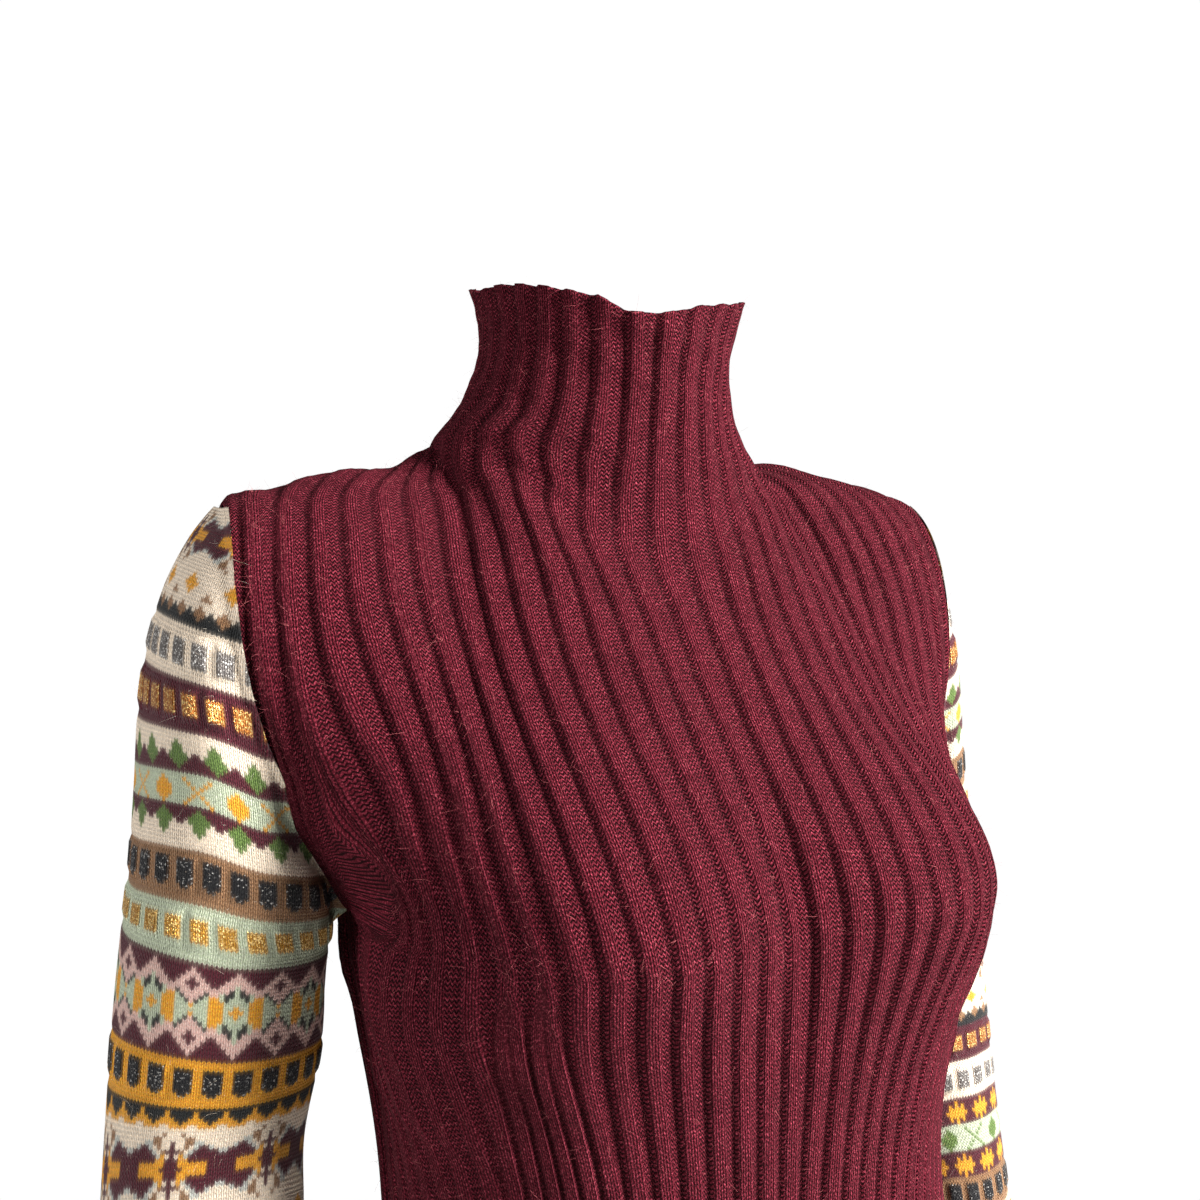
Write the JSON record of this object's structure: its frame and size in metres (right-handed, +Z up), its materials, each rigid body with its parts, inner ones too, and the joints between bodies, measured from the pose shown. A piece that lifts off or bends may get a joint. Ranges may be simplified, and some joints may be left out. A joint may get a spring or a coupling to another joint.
{
  "type": "sweater dress",
  "caption": "Ribbed knit sweater dress as worn, with a tall collar, patterned knit sleeves and ribbed cuffs.",
  "frame": {"origin": "on the neck's axis, level with the tops of the shoulders, where the wearer's shoulders and neck carry the dress", "axes": "+Z up the body to the collar's rim, +X to the wearer's left, -Y out of the front"},
  "size_m": [0.4986, 0.2833, 1.0225],
  "materials": {
    "ribbed_knit": "matt burgundy rib knit with a light wool bloom",
    "patterned_knit": "matt stranded wool knit in bands, with metallic thread in its blocks"
  },
  "bodies": {
    "root": {"front": "ribbed_knit", "back": "ribbed_knit", "sleeve_right": "patterned_knit", "sleeve_left": "patterned_knit", "cuff_right": "ribbed_knit", "cuff_left": "ribbed_knit"}
  },
  "joints": []
}
